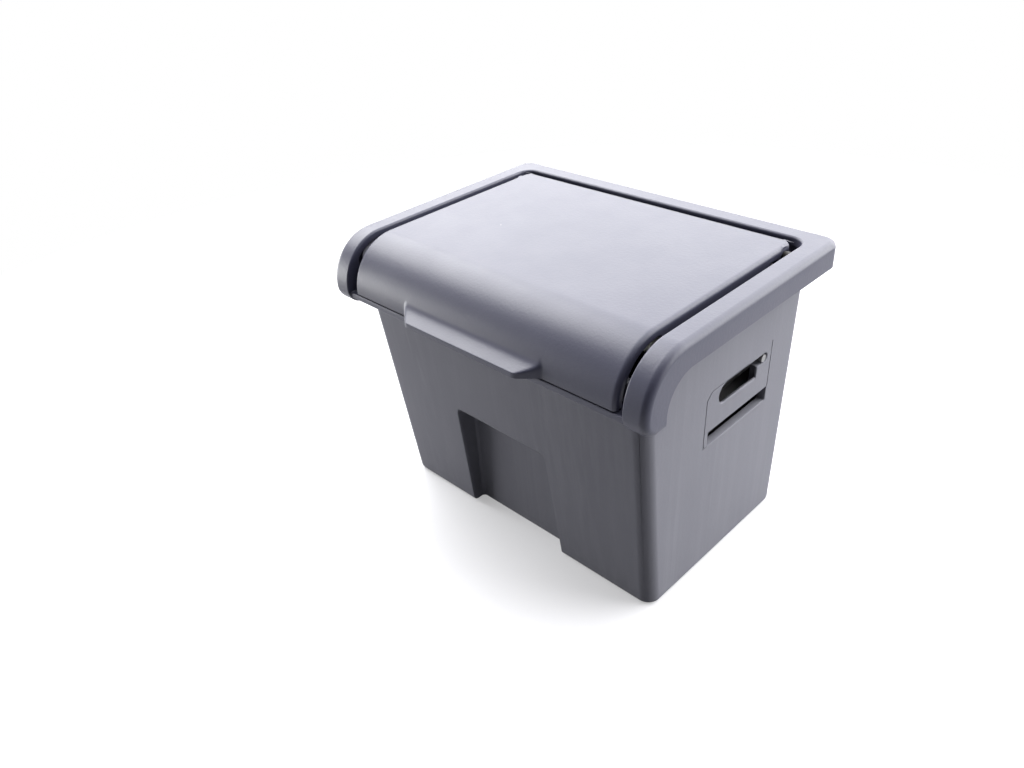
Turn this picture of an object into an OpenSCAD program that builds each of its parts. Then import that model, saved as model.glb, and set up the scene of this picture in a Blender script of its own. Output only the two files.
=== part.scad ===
// Drop-in car ashtray: a moulded tub, a bezel that snaps over its top and a lid hinged at the rear.
// The origin is on the base, under the centre of the bezel. The front faces -Y and Z points up.

/* [Bezel] */
// Width of the bezel across its sides
bezel_w = 95; // [90:0.5:104]
// Depth of the bezel from front to rear
bezel_d = 70; // [68:0.5:78]
// Height of the bezel's top face above the base
bezel_top = 72.5; // [69:0.5:84]
// Thickness of the bezel's top plate and front
bezel_plate = 2.1; // [1.8:0.1:2.4]
// Height of the skirt round the sides and rear
skirt_h = 6; // [5.8:0.1:7]
// Thickness of the skirt
skirt_t = 4; // [3.6:0.1:4.2]
// Width of the rails beside the lid opening
side_rail = 5; // [4.6:0.1:6]
// Width of the rail behind the lid opening
rear_rail = 5.5; // [5:0.1:6.5]
// Radius of the bend over the front
bend_r = 12; // [11:0.1:13]
// Radius of the outer edges of the bezel
bezel_edge_r = 1.6; // [1:0.1:2.2]
// Height from the top face down to the front rail's lower edge
front_drop = 14.3; // [13.8:0.1:15.2]
// Height of the front rail
rail_h = 1.5; // [1.2:0.1:2]
// Height from the top face down to the tips of the legs
leg_drop = 16.3; // [15.8:0.1:18]
// Depth of each leg from front to back
leg_d = 6.7; // [6:0.1:8]
// Radius where the skirt turns down into a leg
skirt_bend_r = 7.9; // [6:0.1:9]

/* [Lid] */
// Thickness of the lid
lid_t = 2.2; // [1.8:0.1:2.4]
// Radius of the lid's bend over the front
lid_bend_r = 12.4; // [10:0.1:13]
// Gap between the lid and the side rails
lid_side_gap = 2.5; // [1.5:0.1:3]
// Gap between the lid and the rear rail
lid_rear_gap = 2.3; // [1.6:0.1:2.8]
// Gap between the lid's lower edge and the front rail
lid_front_gap = 0.3; // [0.3:0.1:1]
// How far the lid's front face lies behind the bezel's
lid_setback = 0.8; // [0.4:0.1:1.6]
// Radius of the lid's outer edges
lid_edge_r = 1; // [0.6:0.1:1.4]
// Height of the flanges along the lid's sides
lid_flange_h = 4.5; // [3.5:0.1:5]
// Thickness of those flanges
lid_flange_t = 1.8; // [1.4:0.1:2.2]

/* [Finger tab] */
// Width of the tab at its tip
tab_tip_w = 34; // [20:1:44]
// Width of the tab at its root
tab_root_w = 45; // [30:1:54]
// How far the tab stands out from the lid's front
tab_out = 3.5; // [2:0.1:5]
// Height of the flare from the tab's tip up to the lid's face
tab_flare_h = 4; // [3:0.1:6]
// Thickness of the tab at its tip
tab_tip_t = 1; // [0.8:0.1:1.6]

/* [Tub] */
// Thickness of the tub's walls
tub_wall = 2; // [1.6:0.1:2.2]
// Thickness of the tub's floor
tub_floor = 2; // [1.6:0.1:3]
// How much narrower each side is at the base than at the top
side_draft = 1.7; // [1:0.1:4.5]
// How far the bezel's front stands out past the tub's front wall
front_overhang = 4.3; // [4:0.1:6]
// How far the front wall leans back from its top to the base
front_lean = 7.5; // [5:0.1:8]
// How far the bezel's rear stands out past the tub's rear wall
rear_overhang = 4.6; // [4.4:0.1:6]
// How much further back the rear wall stands at its top than at the base
rear_draft = 1; // [0:0.1:2]
// Radius of the tub's upright corners
tub_corner_r = 3.4; // [3.2:0.1:5]
// Radius of the edge round the base
tub_base_r = 1.4; // [1:0.1:3]
// Height from the top face down to the top of the front wall
front_wall_drop = 8.5; // [8.2:0.1:10]
// Height of the rear wall's top above the skirt's lower edge
rear_rise = 1.2; // [0.8:0.1:1.4]

/* [Front recess] */
// Width of the recess across its top
recess_w = 29; // [18:0.2:34]
// How much wider the recess is at the base
recess_flare = 2.3; // [0:0.1:3]
// Height of the recess above the base
recess_h = 32; // [20:0.2:40]
// Distance of the recess's centre to the left of the tub's
recess_left = 1.5; // [0:0.1:5]
// Depth of the recess at the base
recess_depth = 3.6; // [2:0.1:4.2]
// Lean of the recess's back face over its height
recess_lean = 1.3; // [0:0.1:2]

/* [Side slot and catch window] */
// Length of the slot
slot_l = 18.8; // [16:0.1:22]
// Height of the slot
slot_h = 5; // [4.4:0.1:6]
// Height of the slot's lower edge above the base
slot_z = 45.8; // [45:0.1:47]
// Distance of the slot's rear end behind the centre of the bezel
slot_rear_y = 16.2; // [15:0.1:17.5]
// Length of the narrow notch at the slot's rear end
notch_l = 4; // [3:0.1:6]
// Height of that notch
notch_h = 2.3; // [2.2:0.1:2.8]
// Length of the catch window below the slot
window_l = 23.5; // [16:0.1:26]
// Height of the catch window
window_h = 3.8; // [3:0.1:4.4]
// Height of the window's lower edge above the base
window_z = 36.9; // [34:0.1:38.4]
// Distance of the window's rear end behind the slot's
window_back = 1.5; // [0:0.1:2.5]
// Height of the ramp that leads into the window
window_ramp_h = 1.7; // [0.8:0.1:2]

/* [Hinge and detent] */
// Diameter of the hinge pins
pin_d = 2; // [1.6:0.1:2.2]
// Depth of the hinge axis below the top face
hinge_drop = 2; // [1.9:0.1:2.2]
// Distance of the hinge axis in front of the lid's rear edge
hinge_inset = 3.4; // [3.2:0.1:3.8]
// Radius of the cam round the hinge axis
cam_r = 2.6; // [2.5:0.05:2.8]
// Distance of the cam's flats from the hinge axis
cam_flat = 2.25; // [2.1:0.05:2.4]
// Angle that the lid opens through
open_angle = 100; // [80:1:105]
// Diameter of the spring wire
wire_d = 1.8; // [1.2:0.1:1.9]

/* [Liner and stub rest] */
// Height of the liner's rim above the base
liner_top = 44.5; // [38:0.5:45]
// Thickness of the liner's sheet
liner_t = 0.7; // [0.5:0.1:1]
// Radius of the liner's upright corners
liner_corner_r = 5; // [3:0.5:8]
// Width of the liner's rim
rim_w = 1.3; // [1:0.1:1.6]
// Width of the stub rest
rest_w = 24; // [16:1:30]
// Thickness of the stub rest's sheet
rest_t = 0.8; // [0.6:0.1:1.2]
// Radius of the two troughs in the stub rest
trough_r = 4.2; // [3.6:0.1:4.6]
// Length of the tabs that hold the stub rest in the liner
rest_tab_l = 9; // [7:0.5:12]
// Diameter of the rivets
rivet_d = 2.4; // [1.6:0.1:3]

/* [Heat plate and buffers] */
// Thickness of the heat plate
plate_t = 0.6; // [0.5:0.1:0.8]
// Air gap between the heat plate and the lid
plate_gap = 1.2; // [0.8:0.1:1.4]
// Distance of the heat plate's ends from the lid's side flanges
plate_end_gap = 2.5; // [1:0.5:10]
// Depth of the heat plate
plate_d = 44; // [30:1:46]
// Shank diameter of the heat plate's screws
screw_d = 1.8; // [1.4:0.1:2.2]
// Width of each lid buffer
buffer_w = 8; // [5:0.5:12]
// Distance of each buffer's middle from the tub's side
buffer_inset = 16; // [13:0.5:25]

/* [Hidden] */

// Clearances
fit = 0.3;
pin_clear = 0.05;
far = 200;
eps = 0.01;

// Bezel
hw = bezel_w/2;
front_y = -bezel_d/2;
rear_y = bezel_d/2;
bend_y = front_y + bend_r;
bend_z = bezel_top - bend_r;
plate_z = bezel_top - bezel_plate;
skirt_z = bezel_top - skirt_h;
skirt_in = hw - skirt_t;
rail_z = bezel_top - front_drop;
rail_top = rail_z + rail_h;
leg_z = bezel_top - leg_drop;
leg_r = bend_z - leg_z;
leg_back = front_y + leg_d;
open_hw = hw - side_rail;
open_rear = rear_y - rear_rail;
open_corner_r = 3.5;
block_l = 7;

// Tub
tub_hw = skirt_in - fit;
tub_front = front_y + front_overhang;
tub_rear = rear_y - rear_overhang;
base_hw = tub_hw - side_draft;
base_front = tub_front + front_lean;
base_rear = tub_rear - rear_draft;
front_wall_top = bezel_top - front_wall_drop;
catch_w = 7;
catch_x = 24;
catch_out = 0.9;
catch_h = 2.6;
snap_l = 26;
snap_out = 0.5;
snap_h = 1.4;
snap_z = skirt_z + 1.6;
pin_seat = hw - 2;
buffer_x = tub_hw - buffer_inset;

// Lid
lid_hw = open_hw - lid_side_gap;
lid_rear = open_rear - lid_rear_gap;
lid_front = front_y + lid_setback;
lid_bottom = rail_top + lid_front_gap;
lid_bend = min(lid_bend_r, bezel_top - lid_bottom - 0.1);
lid_bend_y = lid_front + lid_bend;
lid_bend_z = bezel_top - lid_bend;
lid_corner_r = 2;

// Hinge
axis_y = lid_rear - hinge_inset;
axis_z = bezel_top - hinge_drop;
pin_r = pin_d/2;
boss_l = 3.3;
pin_grip = boss_l - 0.6;
pin_chamfer = 0.3;
cam_l = 2;
cam_angle = 205;

// Springs
wire_r = wire_d/2;
wire_bend_r = 0.75*wire_d;
wire_end_l = 0.8;
wire_x = wall_x(slot_z + slot_h) - tub_wall - wire_r - fit;
wire_bottom = [slot_rear_y - notch_h/2 - fit, slot_z + slot_h - notch_h/2];
wire_reach = cam_r + fit + wire_r;
wire_top = [axis_y + wire_reach*cos(cam_angle), axis_z + wire_reach*sin(cam_angle)];

// Liner and stub rest
liner_edge_r = 2.5;
liner_hw = wire_x - wire_r - fit - rim_w;
liner_base_hw = liner_hw - 1.5;
liner_base_front = base_front + recess_depth + tub_wall + fit + 0.2;
liner_front = liner_base_front - recess_lean*(liner_top - tub_floor)/(recess_h + tub_wall + 1);
liner_rear = rear_wall_y(liner_top - 1) - tub_wall - fit - rim_w;
liner_base_rear = liner_rear - 1.6;
trough_pitch = 22;
front_slope = atan((liner_base_front - liner_front)/(liner_top - tub_floor - liner_edge_r));
rear_slope = atan((liner_rear - liner_base_rear)/(liner_top - tub_floor - liner_edge_r));
sheet_gap = 0.02;
rivet_head_t = 0.7;

// Heat plate
plate_top = bezel_top - lid_t - plate_gap;
plate_w = 2*(lid_hw - lid_flange_t - plate_end_gap);
plate_y = -1;
plate_corner_r = 4;
bead_in = 7;
bead_h = 0.4;
screw_in = 4.5;

// How far a height lies up the tub's drafted walls, from 0 above the base edge to 1 at the top
function rise(z) = (z - tub_base_r)/(bezel_top - tub_base_r);

// Half width of the tub's outside, and Y of its front and rear walls' outside, at a height
function wall_x(z) = base_hw + side_draft*rise(z);
function front_wall_y(z) = base_front - front_lean*rise(z);
function rear_wall_y(z) = base_rear + rear_draft*rise(z);

// Points of an arc about a centre, from one angle to another
function arc(c, r, from, to, n) = [for (i = [0:n]) let (a = from + (to - from)*i/n)
    [c[0] + r*cos(a), c[1] + r*sin(a)]];

// Draws a side view, in Y and Z, and gives it a width along X
module across(w) {
    rotate([90, 0, 90]) linear_extrude(w, center = true) children();
}

// Repeats its children at the left and at the right
module both_sides() {
    children();
    mirror([1, 0, 0]) children();
}

// Plan shape with rounded corners between two corners
module rounded_plan(low, high, r) {
    hull() for (x = [low[0] + r, high[0] - r], y = [low[1] + r, high[1] - r])
        translate([x, y]) circle(r, $fn = 32);
}

// Side view of the bezel's outside, drawn in by a distance
function bezel_outline(inset) = concat(
    arc([bend_y, bend_z], bend_r - inset, 180, 90, 10),
    arc([rear_y - bezel_edge_r, bezel_top - bezel_edge_r], max(bezel_edge_r - inset, eps), 90, 0, 4),
    [[rear_y - inset, leg_z + inset]],
    arc([front_y + leg_r, bend_z], leg_r - inset, 270, 180, 8));

// The bezel's outside as one closed block with its edges rounded
module bezel_block() {
    steps = 6;
    hull() for (i = [0:steps])
        across(2*(hw - bezel_edge_r*(1 - cos(90*i/steps))))
            polygon(bezel_outline(bezel_edge_r*(1 - sin(90*i/steps))));
}

// Everything below the skirt and behind the legs
module below_skirt() {
    across(far) polygon(concat(
        [[far, skirt_z]],
        arc([leg_back + skirt_bend_r, skirt_z - skirt_bend_r], skirt_bend_r, 90, 180, 10),
        [[leg_back, -far], [far, -far]]));
}

// The hollow that the tub's rim goes into: under the top plate, between the skirts and behind the front
module bezel_hollow() {
    across(2*skirt_in) intersection() {
        polygon(concat(
            [[rear_y - skirt_t, -far], [rear_y - skirt_t, plate_z]],
            arc([bend_y, bend_z], bend_r - bezel_plate, 90, 180, 10),
            [[front_y + bezel_plate, -far]]));
        polygon([[front_wall_y(0) - fit, 0], [front_wall_y(bezel_top) - fit, bezel_top],
            [far, bezel_top], [far, 0]]);
    }
}

// The space between the legs: all below the front rail and all in front of it
module between_legs() {
    across(2*open_hw) translate([-far, -far]) square([2*far, far + rail_z]);
    across(2*open_hw) translate([-far, 0]) square([far + lid_front, far]);
}

// The opening for the lid, down to the top of the front rail
module lid_opening() {
    translate([0, 0, rail_top]) linear_extrude(far) union() {
        rounded_plan([-open_hw, -open_corner_r*4], [open_hw, open_rear], open_corner_r);
        translate([-open_hw, -far]) square([2*open_hw, far]);
    }
}

// A block under the top plate that carries a hinge pin
module hinge_block() {
    difference() {
        translate([open_hw, axis_y - pin_r - 1.1, skirt_z + rear_rise + fit])
            cube([skirt_in - open_hw + eps, block_l, plate_z - skirt_z - rear_rise - fit + eps]);
        children();
    }
}

// The bore for a hinge pin, along X
module pin_bore(from, to, r) {
    translate([from, axis_y, axis_z]) rotate([0, 90, 0]) cylinder(h = to - from, r = r, $fn = 48);
}

module bezel() {
    color([0.29, 0.29, 0.33]) difference() {
        union() {
            difference() {
                bezel_block();
                below_skirt();
                bezel_hollow();
                lid_opening();
                between_legs();
            }
            both_sides() hinge_block();
        }
        both_sides() pin_bore(open_hw - 1, pin_seat, pin_r + pin_clear);
        both_sides() translate([skirt_in - 1, -snap_l/2, snap_z - 0.1])
            cube([1 + snap_out + 0.15, snap_l, snap_h + 0.2]);
    }
}

// One foot or one top corner of the tub's outside, as a round turned about Z
module tub_foot(r, edge) {
    rotate_extrude($fn = 32) polygon(concat([[0, 0]], arc([r - edge, edge], edge, 270, 360, 6), [[0, edge]]));
}

// A drafted box with round corners, drawn in from the tub's outside by a wall
module tub_box(wall, floor_z, top_z) {
    r = tub_corner_r - wall;
    edge = max(tub_base_r - wall, 0.6);
    hull() {
        for (s = [-1, 1], y = [base_front + wall + r, base_rear - wall - r])
            translate([s*(base_hw - wall - r), y, floor_z]) tub_foot(r, edge);
        for (s = [-1, 1], y = [tub_front + wall + r, tub_rear - wall - r])
            translate([s*(tub_hw - wall - r), y, top_z - eps]) cylinder(h = eps, r = r, $fn = 32);
    }
}

// The space that the front recess takes, grown by a wall
module recess_space(grow) {
    back = base_front + recess_depth + grow;
    mid = -recess_left;
    hull() {
        translate([mid - (recess_w + recess_flare)/2 - grow, -far/2, -1])
            cube([recess_w + recess_flare + 2*grow, back + far/2, eps]);
        translate([mid - recess_w/2 - grow, -far/2, recess_h + grow])
            cube([recess_w + 2*grow, back - recess_lean + far/2, eps]);
    }
}

// The slot in both side walls: a long round-ended part and a narrow notch at its rear
module side_slot() {
    r = slot_h/2;
    notch_r = notch_h/2;
    step_y = slot_rear_y - notch_l;
    notch_z = slot_z + slot_h - notch_r;
    across(far) union() {
        translate([slot_rear_y - slot_l + r, slot_z + r]) circle(r, $fn = 32);
        translate([slot_rear_y - slot_l + r, slot_z]) square([step_y - slot_rear_y + slot_l - r, slot_h]);
        translate([step_y - eps, notch_z - notch_r]) square([notch_l - notch_r, notch_h]);
        translate([slot_rear_y - notch_r, notch_z]) circle(notch_r, $fn = 32);
    }
}

// The window that a console spring catches in, with a ramp above it
module catch_window() {
    top = window_z + window_h;
    inside = wall_x(window_z) - tub_wall - 1;
    translate([0, slot_rear_y + window_back, 0]) rotate([90, 0, 0]) linear_extrude(window_l) polygon([
        [wall_x(top) + 2, window_z], [wall_x(top) + 2, top], [wall_x(top), top],
        [wall_x(top) - tub_wall*0.8, top - window_ramp_h], [inside, top - window_ramp_h],
        [inside, window_z]]);
}

// A wedge on the front wall that the bezel's shelf snaps over
module shelf_catch(x) {
    top = rail_z - 0.1;
    translate([x, 0, 0]) across(catch_w) polygon([
        [front_wall_y(top) + 1, top], [front_wall_y(top) - catch_out, top],
        [front_wall_y(top) - catch_out, top - 0.5], [front_wall_y(top - catch_h), top - catch_h],
        [front_wall_y(top - catch_h) + 1, top - catch_h]]);
}

// The top edge of the tub, cut to seat under the bezel and to let the lid pass
module above_tub() {
    across(far) polygon(concat(
        [[far, far], [far, plate_z], [bend_y, plate_z]],
        arc([bend_y, bend_z], bend_r - bezel_plate - fit, 90, 180, 10),
        [[-far, bend_z], [-far, far]]));
    translate([-tub_hw + tub_wall, -far, front_wall_top])
        cube([2*(tub_hw - tub_wall), far + tub_front + 2*tub_wall, far]);
    translate([-far, axis_y - pin_r - 1.1 - fit, skirt_z + rear_rise]) cube([2*far, far, far]);
}

module tub() {
    color([0.33, 0.33, 0.34]) union() {
        difference() {
            tub_box(0, 0, bezel_top);
            difference() {
                tub_box(tub_wall, tub_floor, bezel_top + eps);
                recess_space(tub_wall);
            }
            recess_space(0);
            side_slot();
            both_sides() catch_window();
            above_tub();
        }
        for (x = [-catch_x, catch_x]) shelf_catch(x);
        both_sides() translate([tub_hw - tub_wall/2, -snap_l/2, snap_z])
            cube([tub_wall/2 + snap_out, snap_l, snap_h]);
    }
}

// Puts its children at the four places of the heat plate's screws
module screw_places() {
    for (x = [-1, 1], y = [-1, 1])
        translate([x*(plate_w/2 - screw_in), plate_y + y*(plate_d/2 - screw_in), 0]) children();
}

// Side view of the lid's outside, drawn in by a distance
function lid_outline(inset) = concat(
    arc([lid_bend_y, lid_bend_z], lid_bend - inset, 180, 90, 10),
    [[lid_rear - inset, bezel_top - inset], [lid_rear - inset, lid_bottom], [lid_front + inset, lid_bottom]]);

// The lid's outside as one closed block with its side edges rounded
module lid_block() {
    steps = 4;
    hull() for (i = [0:steps])
        across(2*(lid_hw - lid_edge_r*(1 - cos(90*i/steps))))
            polygon(lid_outline(lid_edge_r*(1 - sin(90*i/steps))));
}

// The finger tab: a hollow flare along the lid's lower edge with slanted ends
module finger_tab() {
    tip_y = lid_front - tab_out;
    low_z = lid_bottom + 0.2;
    intersection() {
        across(tab_root_w) polygon(concat(
            [[lid_front + 1, low_z], [tip_y, low_z], [tip_y, low_z + tab_tip_t]],
            [for (i = [1:8]) let (a = 90*i/8)
                [tip_y + tab_out*sin(a), low_z + tab_tip_t + tab_flare_h*(1 - cos(a))]],
            [[lid_front + 1, low_z + tab_tip_t + tab_flare_h]]));
        linear_extrude(far) polygon([[-tab_tip_w/2, tip_y - eps], [tab_tip_w/2, tip_y - eps],
            [tab_root_w/2, lid_front + 1], [-tab_root_w/2, lid_front + 1]]);
    }
}

// The cam at a hinge boss: a round lobe with one flat for the closed lid and one for the open lid
module cam() {
    translate([lid_hw - cam_l, axis_y, axis_z]) rotate([90, 0, 90]) linear_extrude(cam_l) difference() {
        circle(cam_r, $fn = 64);
        for (a = [cam_angle, cam_angle + open_angle])
            rotate(a) translate([cam_flat, -cam_r]) square([cam_r, 2*cam_r]);
        rotate(cam_angle - 25) translate([0, -2*cam_r]) square(2*cam_r);
        translate([-2*cam_r, 0]) square([4*cam_r, 2*cam_r]);
    }
}

module lid() {
    inner_hw = lid_hw - lid_flange_t;
    color([0.31, 0.31, 0.36]) difference() {
        union() {
            intersection() {
                union() {
                    difference() {
                        lid_block();
                        lid_inside(2*inner_hw);
                        lid_underside(far);
                    }
                    both_sides() pin_boss();
                    both_sides() cam();
                }
                linear_extrude(far) rounded_plan([-lid_hw, -far], [lid_hw, lid_rear], lid_corner_r);
            }
            finger_tab();
            translate([0, 0, plate_top]) screw_places()
                cylinder(h = plate_gap + eps, r = screw_d + 0.6, $fn = 32);
        }
        both_sides() pin_bore(lid_hw - pin_grip - fit, lid_hw + 1, pin_r + pin_clear);
        translate([0, 0, plate_top - 1]) screw_places()
            cylinder(h = plate_gap + 1 + 0.6*lid_t, r = screw_d/2, $fn = 24);
    }
}

// All that lies under the lid's plate, between its flanges
module lid_inside(w) {
    across(w) polygon(concat(
        arc([lid_bend_y, lid_bend_z], lid_bend - lid_t, 180, 90, 10),
        [[far, bezel_top - lid_t], [far, -far], [lid_front + lid_t, -far]]));
}

// All that lies under the flanges, which end short of the bend and of the detent springs
module lid_underside(w) {
    flange_end = wire_top[0] - wire_r - 1.2;
    plate_low = bezel_top - lid_t;
    across(w) polygon(concat(
        arc([lid_bend_y, lid_bend_z], lid_bend - lid_t, 180, 90, 10),
        [[lid_bend_y + 1, plate_low], [lid_bend_y + 3.5, bezel_top - lid_flange_h],
            [flange_end - 2, bezel_top - lid_flange_h], [flange_end, plate_low],
            [far, plate_low], [far, -far], [lid_front + lid_t, -far]]));
}

// The round boss at a rear corner of the lid that turns on a hinge pin
module pin_boss() {
    pin_bore(lid_hw - boss_l, lid_hw, hinge_drop);
}

// Plan shape of the heat plate, drawn in by a distance
module plate_plan(inset, r) {
    rounded_plan([-plate_w/2 + inset, plate_y - plate_d/2 + inset],
        [plate_w/2 - inset, plate_y + plate_d/2 - inset], r);
}

module lid_heat_plate() {
    color([0.72, 0.73, 0.74]) translate([0, 0, plate_top - plate_t]) difference() {
        union() {
            linear_extrude(plate_t) plate_plan(0, plate_corner_r);
            translate([0, 0, plate_t - eps]) linear_extrude(bead_h + eps)
                plate_plan(bead_in + 1, plate_corner_r);
        }
        translate([0, 0, -eps]) linear_extrude(bead_h) plate_plan(bead_in + 1.6, plate_corner_r - 0.6);
        translate([0, 0, -1]) screw_places() cylinder(h = 3, r = screw_d/2 + pin_clear, $fn = 24);
    }
}

module heat_plate_screws() {
    color([0.55, 0.56, 0.58]) translate([0, 0, plate_top - plate_t]) screw_places() {
        translate([0, 0, -0.9]) cylinder(h = 0.9, r = screw_d*0.95, $fn = 32);
        cylinder(h = plate_t + plate_gap + 0.4*lid_t, r = screw_d/2 - 0.01, $fn = 24);
    }
}

// A hinge pin with chamfered ends, from inside the lid's boss to inside the bezel's block
module hinge_pin(from, to) {
    pin_bore(from + pin_chamfer, to - pin_chamfer, pin_r);
    for (end = [[from, pin_r - pin_chamfer, pin_r], [to - pin_chamfer, pin_r, pin_r - pin_chamfer]])
        translate([end[0], axis_y, axis_z]) rotate([0, 90, 0])
            cylinder(h = pin_chamfer, r1 = end[1], r2 = end[2], $fn = 48);
}

module right_hinge_pin() {
    color([0.62, 0.62, 0.62]) hinge_pin(lid_hw - pin_grip, pin_seat - fit);
}

module left_hinge_pin() {
    color([0.62, 0.62, 0.62]) mirror([1, 0, 0]) hinge_pin(lid_hw - pin_grip, pin_seat - fit);
}

// A quarter bend of round wire about a centre, from one angle on
module wire_bend(centre, from) {
    translate(centre) rotate(from) rotate_extrude(angle = 90, $fn = 48)
        translate([wire_bend_r, 0]) circle(wire_r, $fn = 24);
}

// The detent spring, all in one plane: out through the slot, straight up the wall, in under the cam
module detent_spring(turn) {
    rise_y = wire_top[0] - wire_bottom[0];
    rise_z = wire_top[1] - wire_bottom[1];
    length = norm([rise_y, rise_z]);
    out_x = wall_x(wire_bottom[1]);
    color([0.66, 0.66, 0.67]) translate([0, wire_bottom[0], wire_bottom[1]])
        rotate([atan2(rise_z, rise_y), 0, 0]) rotate([0, turn, 0]) union() {
            translate([wire_x + wire_bend_r, 0, 0]) rotate([0, 90, 0])
                cylinder(h = out_x - wire_x - wire_bend_r, r = wire_r, $fn = 24);
            wire_bend([wire_x + wire_bend_r, wire_bend_r, 0], 180);
            translate([wire_x, wire_bend_r, 0]) rotate([-90, 0, 0])
                cylinder(h = length - 2*wire_bend_r, r = wire_r, $fn = 24);
            wire_bend([wire_x - wire_bend_r, length - wire_bend_r, 0], 0);
            translate([wire_x - wire_bend_r - wire_end_l, length, 0]) rotate([0, 90, 0])
                cylinder(h = wire_end_l, r = wire_r, $fn = 24);
        }
}

module right_detent_spring() {
    detent_spring(0);
}

module left_detent_spring() {
    detent_spring(180);
}

// A drafted cup with round corners, drawn in by the sheet
module liner_cup(wall, floor_z) {
    r = liner_corner_r - wall;
    hull() {
        for (s = [-1, 1], y = [liner_base_front + wall + r, liner_base_rear - wall - r])
            translate([s*(liner_base_hw - wall - r), y, floor_z]) tub_foot(r, liner_edge_r - wall);
        for (s = [-1, 1], y = [liner_front + wall + r, liner_rear - wall - r])
            translate([s*(liner_hw - wall - r), y, liner_top - eps]) cylinder(h = 2*eps, r = r, $fn = 32);
    }
}

module ash_liner() {
    color([0.7, 0.71, 0.72]) difference() {
        union() {
            liner_cup(0, tub_floor);
            translate([0, 0, liner_top - liner_t - 0.3]) linear_extrude(liner_t + 0.3)
                rounded_plan([-liner_hw - rim_w, liner_front - rim_w], [liner_hw + rim_w, liner_rear + rim_w],
                    liner_corner_r + rim_w);
        }
        liner_cup(liner_t, tub_floor + liner_t);
        rivet_row(rivet_d/2, 0);
    }
}

// Rivets through the tabs and the liner, square to the sheet, with flat heads on request
module rivet_row(r, head) {
    depth = rest_tab_l*0.6;
    for (x = [-rest_w/4, rest_w/4]) {
        translate([x, liner_front + tan(front_slope)*depth, liner_top - depth])
            rotate([front_slope - 90, 0, 0]) rivet(r, head);
        translate([x, liner_rear - tan(rear_slope)*depth, liner_top - depth])
            rotate([90 - rear_slope, 0, 0]) rivet(r, head);
    }
}

// One rivet, starting at the outside of the liner
module rivet(r, head) {
    grip = liner_t + rest_t;
    translate([0, 0, -rivet_head_t]) cylinder(h = grip + 2*rivet_head_t, r = r, $fn = 24);
    if (head > 0) {
        translate([0, 0, -rivet_head_t]) cylinder(h = rivet_head_t, r = head, $fn = 32);
        translate([0, 0, grip]) cylinder(h = rivet_head_t, r = head, $fn = 32);
    }
}

// Side view of the space under the bridge's top face, drawn in by the sheet
module bridge_space(inset) {
    front = liner_front + liner_t + sheet_gap + inset/cos(front_slope);
    rear = liner_rear - liner_t - sheet_gap - inset/cos(rear_slope);
    middle = (liner_front + liner_rear)/2;
    difference() {
        polygon([[front + tan(front_slope)*rest_tab_l, liner_top - rest_tab_l - inset],
            [front, liner_top - inset], [rear, liner_top - inset],
            [rear - tan(rear_slope)*rest_tab_l, liner_top - rest_tab_l - inset]]);
        for (y = [middle - trough_pitch/2, middle + trough_pitch/2])
            translate([y, liner_top]) circle(trough_r + inset, $fn = 48);
    }
}

// The folded sheet bridge with two troughs for the stubs and three slots between them
module stub_rest() {
    middle = (liner_front + liner_rear)/2;
    slot_w = trough_pitch - 2*trough_r - 4*rest_t;
    color([0.68, 0.69, 0.7]) difference() {
        across(rest_w) difference() {
            bridge_space(0);
            bridge_space(rest_t);
        }
        for (x = [-rest_w/4, 0, rest_w/4])
            translate([x - 1, middle - slot_w/2, liner_top - 2]) cube([2, slot_w, 4]);
        rivet_row(rivet_d/2, 0);
    }
}

module stub_rest_rivets() {
    color([0.6, 0.6, 0.6]) rivet_row(rivet_d/2 - 0.01, rivet_d*0.8);
}

// A rubber buffer that straddles the top edge of the tub's front wall
module lid_buffer(x) {
    low = front_wall_top - 2.4;
    wall_low = front_wall_y(low - 1);
    wall_high = front_wall_y(front_wall_top);
    outer_y = wall_high - 0.8;
    inner_y = wall_high + tub_wall + 1;
    reach = lid_bend - lid_t - fit;
    lip = lid_bend_z + sqrt(reach*reach - pow(outer_y - lid_bend_y, 2));
    crown = lid_bend_z + sqrt(reach*reach - pow(wall_high + 0.4 - lid_bend_y, 2));
    color([0.12, 0.12, 0.12]) translate([x, 0, 0]) across(buffer_w) difference() {
        polygon([[outer_y, low], [outer_y, lip], [wall_high + 0.4, crown], [inner_y - 1, crown],
            [inner_y, crown - 1], [inner_y, low]]);
        polygon([[wall_low - sheet_gap, low - 1], [wall_high - sheet_gap, front_wall_top],
            [wall_high + tub_wall + sheet_gap, front_wall_top], [wall_low + tub_wall + sheet_gap, low - 1]]);
    }
}

module left_lid_buffer() {
    lid_buffer(-buffer_x);
}

module right_lid_buffer() {
    lid_buffer(buffer_x);
}

tub();
bezel();
lid();
lid_heat_plate();
heat_plate_screws();
left_hinge_pin();
right_hinge_pin();
left_detent_spring();
right_detent_spring();
ash_liner();
stub_rest();
stub_rest_rivets();
left_lid_buffer();
right_lid_buffer();
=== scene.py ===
"""Looks of a drop-in car ashtray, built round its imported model.

Shapes are worked out with numpy in millimetres, as rings of points or as profiles carried along a path,
and go into their meshes in metres. The front of the ashtray faces -Y and its base stands on Z = 0.
"""

import logging
import math
from collections.abc import Callable
from dataclasses import dataclass
from enum import Enum

import bmesh
import bpy
import numpy as np
from mathutils import Matrix, Vector


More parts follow.
